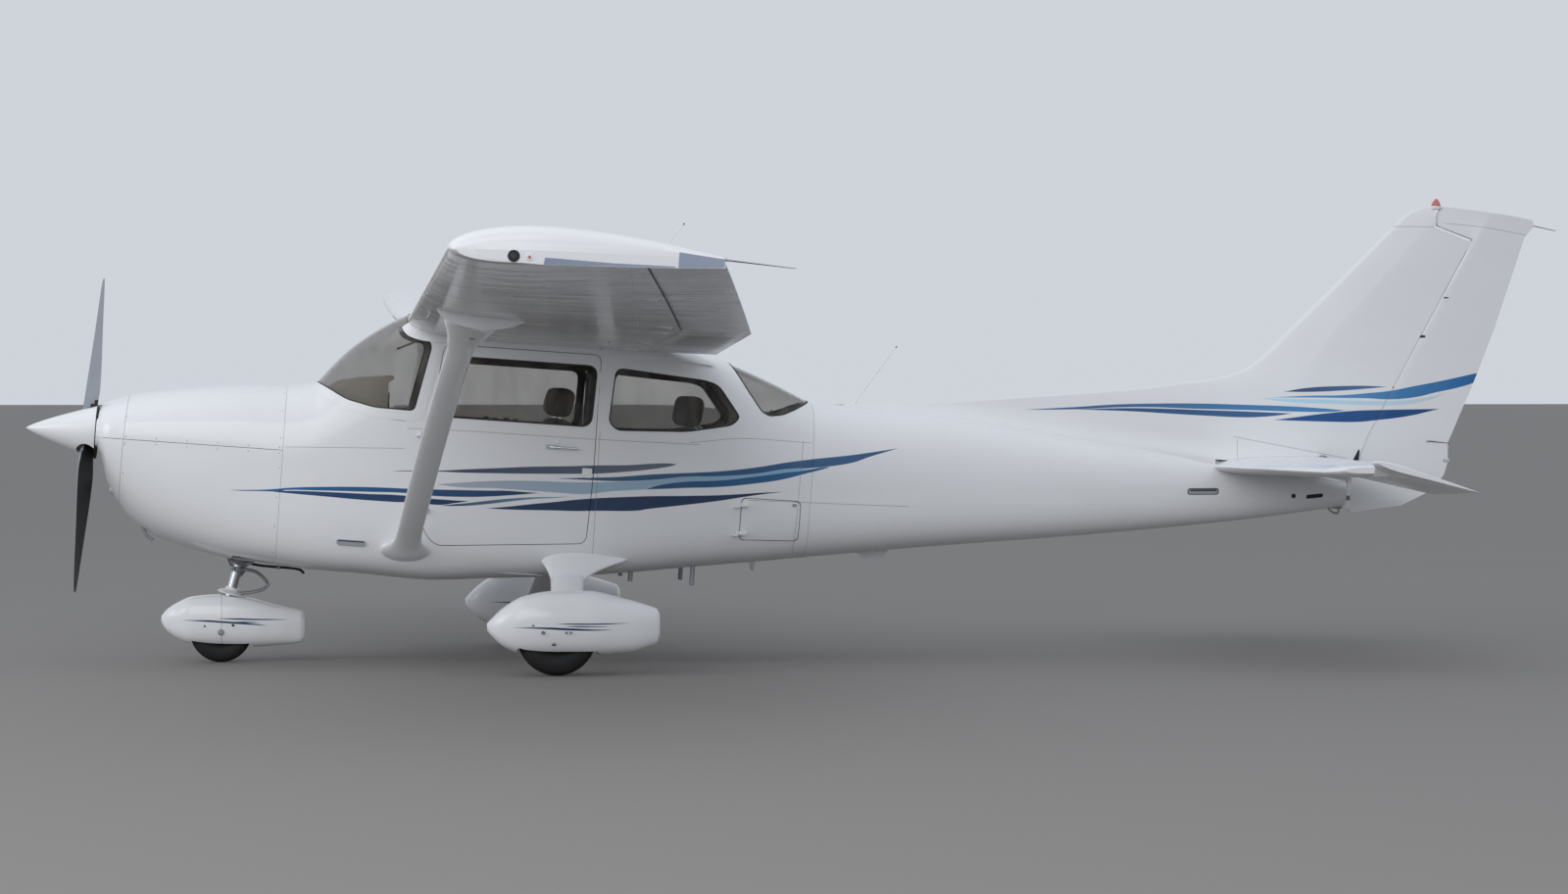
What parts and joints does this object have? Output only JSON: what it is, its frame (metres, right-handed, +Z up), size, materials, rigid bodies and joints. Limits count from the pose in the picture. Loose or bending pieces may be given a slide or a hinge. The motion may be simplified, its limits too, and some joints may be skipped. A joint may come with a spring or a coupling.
{
  "type": "light aircraft",
  "caption": "Four-seat high-wing light aircraft with braced wing, fixed nosewheel gear in fairings, two-bladed propeller, opening doors and hinged control surfaces.",
  "frame": {"origin": "on the ground under the middle of the aircraft's box", "axes": "+X aft along the level ground, +Y to the right side (starboard), +Z up; the nose points to -X and the airframe stands 4 degrees nose up"},
  "size_m": [8.2398, 11, 2.4757],
  "materials": {
    "airframe_paint": "gloss",
    "ribbed_skin": "gloss",
    "fairing_plastic": "gloss",
    "clear_glass": "polished",
    "tyre_rubber": "matte",
    "wheel_metal": "satin",
    "gear_steel": "satin",
    "engine_iron": "matte",
    "blade_paint": "satin",
    "seat_cloth": "matte",
    "panel_plastic": "matte"
  },
  "bodies": {
    "airframe": {"cowl_upper": "airframe_paint", "cowl_lower": "airframe_paint", "engine": "engine_iron", "cabin": "airframe_paint", "tail_cone": "airframe_paint", "fin": "airframe_paint", "tailplane": "airframe_paint", "windshield": "clear_glass", "rear_window": "clear_glass", "instrument_panel": "panel_plastic", "rear_bench": "seat_cloth", "nose_oleo": "gear_steel", "wing_left": "airframe_paint", "wing_right": "airframe_paint", "strut_left": "airframe_paint", "strut_right": "airframe_paint", "rear_side_window_left": "clear_glass", "rear_side_window_right": "clear_glass", "front_seat_left": "seat_cloth", "front_seat_right": "seat_cloth", "main_leg_left": "airframe_paint", "main_leg_right": "airframe_paint", "wheel_fairing_left": "fairing_plastic", "wheel_fairing_right": "fairing_plastic"},
    "propeller": {"propeller": "blade_paint", "spinner": "fairing_plastic"},
    "nose_steering": {"nose_fork": "gear_steel", "nose_fairing": "fairing_plastic"},
    "nose_wheel": {"nose_tyre": "tyre_rubber", "nose_rim": "wheel_metal"},
    "baggage_door": {"baggage_door": "airframe_paint"},
    "elevator": {"elevator": "ribbed_skin"},
    "trim_tab": {"trim_tab": "ribbed_skin"},
    "rudder": {"rudder": "airframe_paint"},
    "wheel_left": {"tyre_left": "tyre_rubber", "rim_left": "wheel_metal"},
    "door_left": {"door_left": "airframe_paint", "door_window_left": "clear_glass"},
    "flap_left": {"flap_left": "ribbed_skin"},
    "aileron_left": {"aileron_left": "ribbed_skin"},
    "wheel_right": {"tyre_right": "tyre_rubber", "rim_right": "wheel_metal"},
    "door_right": {"door_right": "airframe_paint", "door_window_right": "clear_glass"},
    "flap_right": {"flap_right": "ribbed_skin"},
    "aileron_right": {"aileron_right": "ribbed_skin"}
  },
  "joints": [
    {"name": "propeller_spin", "type": "hinge", "parent": "airframe", "child": "propeller", "pos_m": [-3.78192, 0, 1.23063], "axis": [0.9976, 0, -0.0698], "continuous": true},
    {"name": "wheel_left_spin", "type": "hinge", "parent": "airframe", "child": "wheel_left", "pos_m": [-1.3763, -1.276, 0.203], "axis": [0, 1, 0], "continuous": true},
    {"name": "wheel_right_spin", "type": "hinge", "parent": "airframe", "child": "wheel_right", "pos_m": [-1.3763, 1.276, 0.203], "axis": [0, 1, 0], "continuous": true},
    {"name": "nose_steer", "type": "hinge", "parent": "airframe", "child": "nose_steering", "pos_m": [-3.0373, 0, 0.372], "axis": [0.2656, 0, 0.9641], "range_deg": [-30, 30]},
    {"name": "nose_wheel_spin", "type": "hinge", "parent": "nose_steering", "child": "nose_wheel", "pos_m": [-3.0893, 0, 0.165], "axis": [0, 1, 0], "continuous": true},
    {"name": "door_left", "type": "hinge", "parent": "airframe", "child": "door_left", "pos_m": [-2.05413, -0.549, 1.05268], "axis": [-0.0698, 0, -0.9976], "range_deg": [0, 65]},
    {"name": "door_right", "type": "hinge", "parent": "airframe", "child": "door_right", "pos_m": [-2.05413, 0.549, 1.05268], "axis": [0.0698, 0, 0.9976], "range_deg": [0, 65]},
    {"name": "baggage_door", "type": "hinge", "parent": "airframe", "child": "baggage_door", "pos_m": [-0.35746, -0.47, 0.77364], "axis": [-0.0698, 0, -0.9976], "range_deg": [0, 100]},
    {"name": "flap_left", "type": "hinge", "parent": "airframe", "child": "flap_left", "pos_m": [-0.84549, -0.566, 1.7077], "axis": [-0.0026, 0.9993, -0.0369], "range_deg": [0, 30]},
    {"name": "flap_right", "type": "hinge", "parent": "airframe", "child": "flap_right", "pos_m": [-0.84549, 0.566, 1.7077], "axis": [0.0026, 0.9993, 0.0369], "range_deg": [0, 30]},
    {"name": "aileron_left", "type": "hinge", "parent": "airframe", "child": "aileron_left", "pos_m": [-0.83238, -2.556, 1.78056], "axis": [0.1449, 0.9857, -0.0856], "range_deg": [-20, 15]},
    {"name": "aileron_right", "type": "hinge", "parent": "airframe", "child": "aileron_right", "pos_m": [-0.83238, 2.556, 1.78056], "axis": [-0.1449, 0.9857, 0.0856], "range_deg": [-15, 20]},
    {"name": "elevator", "type": "hinge", "parent": "airframe", "child": "elevator", "pos_m": [2.91751, 0, 1.04586], "axis": [0, 1, 0], "range_deg": [-40, 11]},
    {"name": "trim_tab", "type": "hinge", "parent": "elevator", "child": "trim_tab", "pos_m": [3.36978, 0.33, 0.91617], "axis": [-0.1102, 0.9934, 0.0316], "range_deg": [-22, 19]},
    {"name": "rudder", "type": "hinge", "parent": "airframe", "child": "rudder", "pos_m": [3.09777, 0, 1.04327], "axis": [0.4876, 0, 0.873], "range_deg": [-16, 16]}
  ],
  "couplings": [
    {"joint": "flap_right", "follows": "flap_left", "ratio": 1},
    {"joint": "aileron_right", "follows": "aileron_left", "ratio": -1}
  ]
}
